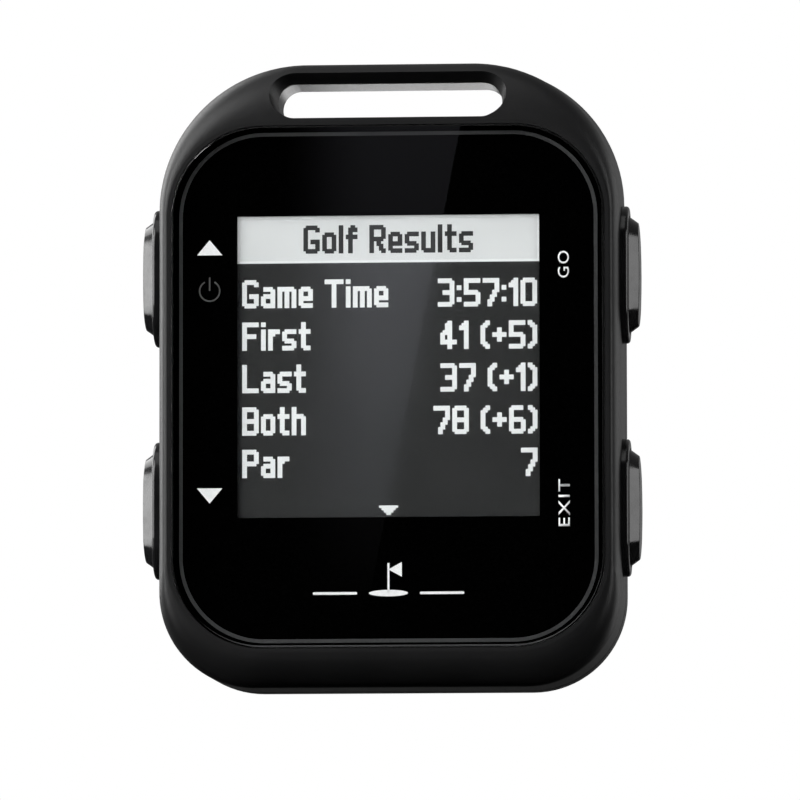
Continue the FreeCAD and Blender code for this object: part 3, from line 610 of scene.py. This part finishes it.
BAND_ROWS = 20
TITLE_TOP = 4
MARGIN = 2
FIRST_LINE = 27
LINE_PITCH = 18
ARROW_LEFT, ARROW_TOP, ARROW_WIDTH = 60, 123, 8
LINES = (
    ("Game Time", "3:57:10"), ("First", "41 (+5)"), ("Last", "37 (+1)"), ("Both", "78 (+6)"), ("Par", "7"),
)
last = PICTURE_DOTS - 1
band = {(x, y) for x in range(PICTURE_DOTS) for y in range(BAND_ROWS)}
edge = {(x, y) for x, y in band if x in (0, last) or y in (0, BAND_ROWS - 1)}
title = text_dots("Golf Results", PICTURE_DOTS // 2, TITLE_TOP, "middle")
lines = set()
for i, (label, result) in enumerate(LINES):
    top = FIRST_LINE + i * LINE_PITCH
    lines |= text_dots(label, MARGIN, top)
    lines |= text_dots(result, last, top, "right")
more = {(ARROW_LEFT + i + j, ARROW_TOP + i)
        for i in range(ARROW_WIDTH // 2) for j in range(ARROW_WIDTH - 2 * i)}
picture_piece("title_band", band - title - edge, band_grey)
picture_piece("title_letters", title, unlit)
picture_piece("result_lines", lines | more | edge, lit)

# %% [markdown]
# ## Inside: metals
#
# Nothing inside shows from the front, but each part is a real one, so each has its own finish. Turned
# and ground metal carries fine lines along its round, so the noise behind its roughness is stretched.
# Metals keep the default IOR, and their colour does the work.

# %% Metals
METALS = (
    ("blackened_machine_screw_steel", "#5b5b5e", 0.32, 0.12, ("cover_screws", "board_screws")),
    ("turned_brass", "#c9a35c", 0.28, 0.1, ("screw_inserts",)),
    ("pressed_tin_plate", "#c4c6c6", 0.3, 0.35, ("display_tray", "shield_can")),
    ("fired_silver_paste", "#d9d8d2", 0.42, 0.08, ("antenna_electrode",)),
    ("gold_plated_turned_brass", "#e2bf6d", 0.2, 0.08, ("charging_contacts", "contact_pogo_pins")),
)
for name, base, rough, size, parts in METALS:
    metal, tree, shader, place = new_material(name, base, rough, Metallic=1.0)
    grain(tree, place, shader, size, 0.002, rough=(rough - 0.08, rough + 0.12), stretch=(1, 4, 1))
    finish_of(metal, *parts)

# %% [markdown]
# ## Inside: button metals
#
# The stems are ground stainless rod, so their lines run round them. The springs and clips are drawn or
# stamped spring steel, a little darker and greyer, with streaks along the wire.

# %% Button metals
stem_steel, tree, shader, place = new_material("ground_stainless_rod", "#b9babc", 0.24, Metallic=1.0)
grain(tree, place, shader, 0.05, 0.0015, rough=(0.18, 0.36), stretch=(8, 1, 1))
spring_steel, tree, shader, place = new_material("drawn_spring_steel", "#8c8d90", 0.3, Metallic=1.0)
grain(tree, place, shader, 0.07, 0.0015, rough=(0.24, 0.42))
seal_rubber, tree, shader, place = new_material("moulded_silicone", "#2b2b2c", 0.6, IOR=1.41)
tint(tree, place, shader, 0.8, "#272728", "#303031")
grain(tree, place, shader, 0.12, 0.004)
nylon, tree, shader, place = new_material("moulded_nylon_ivory", "#d8d2bf", 0.45, IOR=1.53,
                                          Subsurface_Weight=0.1, Subsurface_Scale=0.3 * MM)
tint(tree, place, shader, 0.7, "#d2ccb8", "#ded8c6")
grain(tree, place, shader, 0.15, 0.003)
for key in ("up", "down", "enter", "back"):
    finish_of(stem_steel, key + "_button_stem")
    finish_of(spring_steel, key + "_stem_clip", key + "_return_spring")
    finish_of(seal_rubber, key + "_stem_seal")
    finish_of(nylon, key + "_switch_pin")
finish_of(seal_rubber, "case_gasket")
finish_of(nylon, "display_connector", "battery_plug", "side_switches")

# %% [markdown]
# ## Inside: board and ceramics
#
# The board is glass laminate under green solder mask. Its copper tracks lift the mask a little, which is
# what makes a board look like one, so a brick pattern turned into bands stands for the runs of tracks.

# %% Board laminate
TRACK_PITCH = 0.8
laminate, tree, shader, place = new_material("solder_mask_over_glass_laminate", "#0f4a2c", 0.3, IOR=1.55,
                                             Coat_Weight=0.3)
upright = add_node(tree, "ShaderNodeMapping", Vector=place, Rotation=(math.pi / 2, 0, 0))
tracks = add_node(tree, "ShaderNodeTexBrick", Vector=upright.outputs["Vector"], Scale=1 / (TRACK_PITCH * MM),
                  Mortar_Size=0.12, Brick_Width=5.0, Row_Height=0.5, Color1=colour("#14563a"),
                  Color2=colour("#104a30"), Mortar=colour("#0a3a24"))
tree.links.new(tracks.outputs["Color"], shader.inputs["Base Color"])
lift = add_node(tree, "ShaderNodeBump", {"invert": True}, Height=tracks.outputs["Fac"], Strength=1.0,
                Distance=0.02 * MM)
tree.links.new(lift.outputs["Normal"], shader.inputs["Normal"])
finish_of(laminate, "main_board")

# %% [markdown]
# ## Inside: plastics, film, tape, ceramic and foil
#
# The other inner parts differ in colour, gloss and grain, and not in how they are made up, so a table with
# one row per finish and one loop does for all of them. Each row gives the size of the grain in
# millimetres, and the darkest and lightest colour that the finish goes to.

# %% Other inner parts
OTHERS = (
    ("moulded_epoxy_package", "#2a2a2c", 0.55, 0.1, "#272729", "#2f2f31", ("display_driver", "board_chips")),
    ("clear_acrylic_over_white_film", "#e9ebe9", 0.15, 1.5, "#e4e7e5", "#eff0ee", ("backlight_guide",)),
    ("polyimide_film", "#b4691f", 0.3, 0.9, "#a95f1a", "#bf7326", ("display_flex",)),
    ("fired_microwave_ceramic", "#c3b79e", 0.5, 0.3, "#bbae94", "#cbc0a8", ("gps_antenna",)),
    ("foam_adhesive_tape", "#222223", 0.7, 0.2, "#1e1e1f", "#272728", ("lens_adhesive", "battery_tape")),
    ("extruded_pvc_sleeve", "#b3241c", 0.4, 0.6, "#a81f18", "#bd2a21", ("battery_leads",)),
    ("embossed_foil_pouch", "#bfc1c2", 0.35, 0.8, "#b6b8b9", "#c8cacb", ("battery",)),
)
for name, base, rough, size, dark, light, parts in OTHERS:
    material, tree, shader, place = new_material(name, base, rough)
    tint(tree, place, shader, size, dark, light)
    grain(tree, place, shader, size / 2, 0.004, rough=(rough - 0.05, rough + 0.1))
    finish_of(material, *parts)

# %% [markdown]
# ## Floor
#
# The unit stands on a plain pale floor at the height of its base. The eye is a little lower than that,
# so from below the floor is clear: its shader looks at which side of the face a ray meets. The unit's
# glossy faces, and the display behind its glass, don't mirror the floor either, so that both stay dark
# down to the base.

# %% Floor
FLOOR_HALF = 0.6
bpy.ops.object.select_all(action="DESELECT")
bpy.ops.mesh.primitive_plane_add(size=2 * FLOOR_HALF, location=(0, 0, 0))
floor = bpy.context.object
floor.name = "floor"
paper, tree, shader, place = new_material("matt_paper_floor", "#c8c8c6", 0.8)
tint(tree, place, shader, 40.0, "#c7c7c5", "#c9c9c7")
from_below = add_node(tree, "ShaderNodeNewGeometry").outputs["Backfacing"]
clear = add_node(tree, "ShaderNodeBsdfTransparent")
one_sided = add_node(tree, "ShaderNodeMixShader", _0=from_below, _1=shader.outputs["BSDF"],
                     _2=clear.outputs["BSDF"])
tree.links.new(one_sided.outputs["Shader"], tree.nodes["Material Output"].inputs["Surface"])
floor.data.materials.append(paper)
floor.visible_glossy = False
floor.visible_transmission = False

# %% [markdown]
# ## Sky
#
# The background is white paper to the eye. To the unit it is a dim studio: black in front, so that the
# glass has nothing bright to mirror there, and black below, where the unit's underside looks.

# %% Sky
ROOM_LEVEL = 0.25
world = bpy.data.worlds.new("studio")
bpy.context.scene.world = world
world.use_nodes = True
tree = world.node_tree
toward = add_node(tree, "ShaderNodeTexCoord").outputs["Generated"]
toward = add_node(tree, "ShaderNodeSeparateXYZ", Vector=toward).outputs
behind = add_node(tree, "ShaderNodeMapRange", Value=toward["Y"], From_Min=-0.9, From_Max=1.0, To_Min=0.0,
                  To_Max=ROOM_LEVEL)
above = add_node(tree, "ShaderNodeMapRange", Value=toward["Z"], From_Min=-0.4, From_Max=0.1, To_Min=0.0,
                 To_Max=1.0)
room = add_node(tree, "ShaderNodeMath", {"operation": "MULTIPLY"}, _0=behind.outputs["Result"],
                _1=above.outputs["Result"])
seen = add_node(tree, "ShaderNodeLightPath").outputs["Is Camera Ray"]
level = add_node(tree, "ShaderNodeMix", {"data_type": "FLOAT"}, _0=seen, _2=room.outputs["Value"], _3=1.0)
background = tree.nodes["Background"]
tree.links.new(level.outputs["Result"], background.inputs["Strength"])
background.inputs["Color"].default_value = (1, 1, 1, 1)

# %% [markdown]
# ## Card mirrored by the glass
#
# A flat glass shows nothing of itself but what it mirrors. A dim card hangs in front of the unit, out of
# the eye's sight. Its slanted right edge is sharp, and its light fades out towards the left and towards
# its foot, so the glass shows a faint slanted band with one crisp side. Only mirrored rays meet the card,
# and those that the display mirrors meet it through the glass.

# %% Card
CARD_Y = -0.35
CARD_LOW, CARD_HIGH = 0.005, 0.11
CARD_WIDTH = 0.05
CARD_EDGE_X = -0.0343
CARD_SLANT = 0.195
CARD_FADE = (-0.039, -0.0274)
CARD_FOOT = (0.027, 0.085)
CARD_LIGHT = 0.2
bpy.ops.object.select_all(action="DESELECT")
bpy.ops.mesh.primitive_plane_add(size=1)
card = bpy.context.object
card.name = "mirror_card"
for vertex in card.data.vertices:
    z = CARD_HIGH if vertex.co.y > 0 else CARD_LOW
    x = CARD_EDGE_X + CARD_SLANT * z - (CARD_WIDTH if vertex.co.x < 0 else 0)
    vertex.co = (x, CARD_Y, z)
glow, tree, shader, place = new_material("dim_lit_card", "#000000", 1.0, Specular_IOR_Level=0.0,
                                         Emission_Color=colour("#f2f2ff"))
across = add_node(tree, "ShaderNodeSeparateXYZ", Vector=place).outputs
sideways = add_node(tree, "ShaderNodeMapRange", {"interpolation_type": "SMOOTHSTEP"}, Value=across["X"],
                    From_Min=CARD_FADE[0], From_Max=CARD_FADE[1], To_Min=0.0, To_Max=CARD_LIGHT)
upward = add_node(tree, "ShaderNodeMapRange", Value=across["Z"], From_Min=CARD_FOOT[0],
                  From_Max=CARD_FOOT[1], To_Min=0.0, To_Max=1.0)
level = add_node(tree, "ShaderNodeMath", {"operation": "MULTIPLY"}, _0=sideways.outputs["Result"],
                 _1=upward.outputs["Result"])
tree.links.new(level.outputs["Value"], shader.inputs["Emission Strength"])
card.data.materials.append(glow)
for kind in ("camera", "diffuse", "shadow", "volume_scatter"):
    setattr(card, "visible_" + kind, False)

# %% [markdown]
# ## Lamps
#
# Two soft boxes behind the unit, at the left and the right, draw the lights along its edges. A large one
# in front, far to the left, lights the prints and the display without being mirrored in the glass. A
# narrow one at the left and a box at the right put a bright face on the bevel of each button, and the box
# above lights the loop. A very small lamp behind the lanyard slot gives its upper wall a sheen.

# %% Lamps
LAMPS = (
    # name, place, size across, size up, watts
    ("left_rear_box", (-0.45, 0.33, 0.32), 0.46, 0.65, 3.2),
    ("left_strip", (-0.53, -0.13, 0.08), 0.12, 0.45, 1.2),
    ("left_front_box", (-0.48, -0.36, 0.32), 0.60, 0.60, 5.2),
    ("top_box", (-0.05, -0.20, 0.58), 0.45, 0.45, 0.5),
    ("right_box", (0.50, -0.21, 0.10), 0.24, 0.44, 1.1),
    ("right_rear_box", (0.42, 0.40, 0.05), 0.34, 0.44, 0.35),
    ("slot_strip", (0.0, 0.10, 0.033), 0.03, 0.02, 0.01),
)
for name, at, width, height, watts in LAMPS:
    data = bpy.data.lights.new(name, "AREA")
    data.shape = "RECTANGLE"
    data.size = width
    data.size_y = height
    data.energy = watts
    lamp = bpy.data.objects.new(name, data)
    lamp.location = at
    lamp.rotation_euler = (AIM - Vector(at)).to_track_quat("-Z", "Y").to_euler()
    lamp.visible_camera = False
    bpy.context.scene.collection.objects.link(lamp)
    print(name, "at", at, "gives", watts, "W")
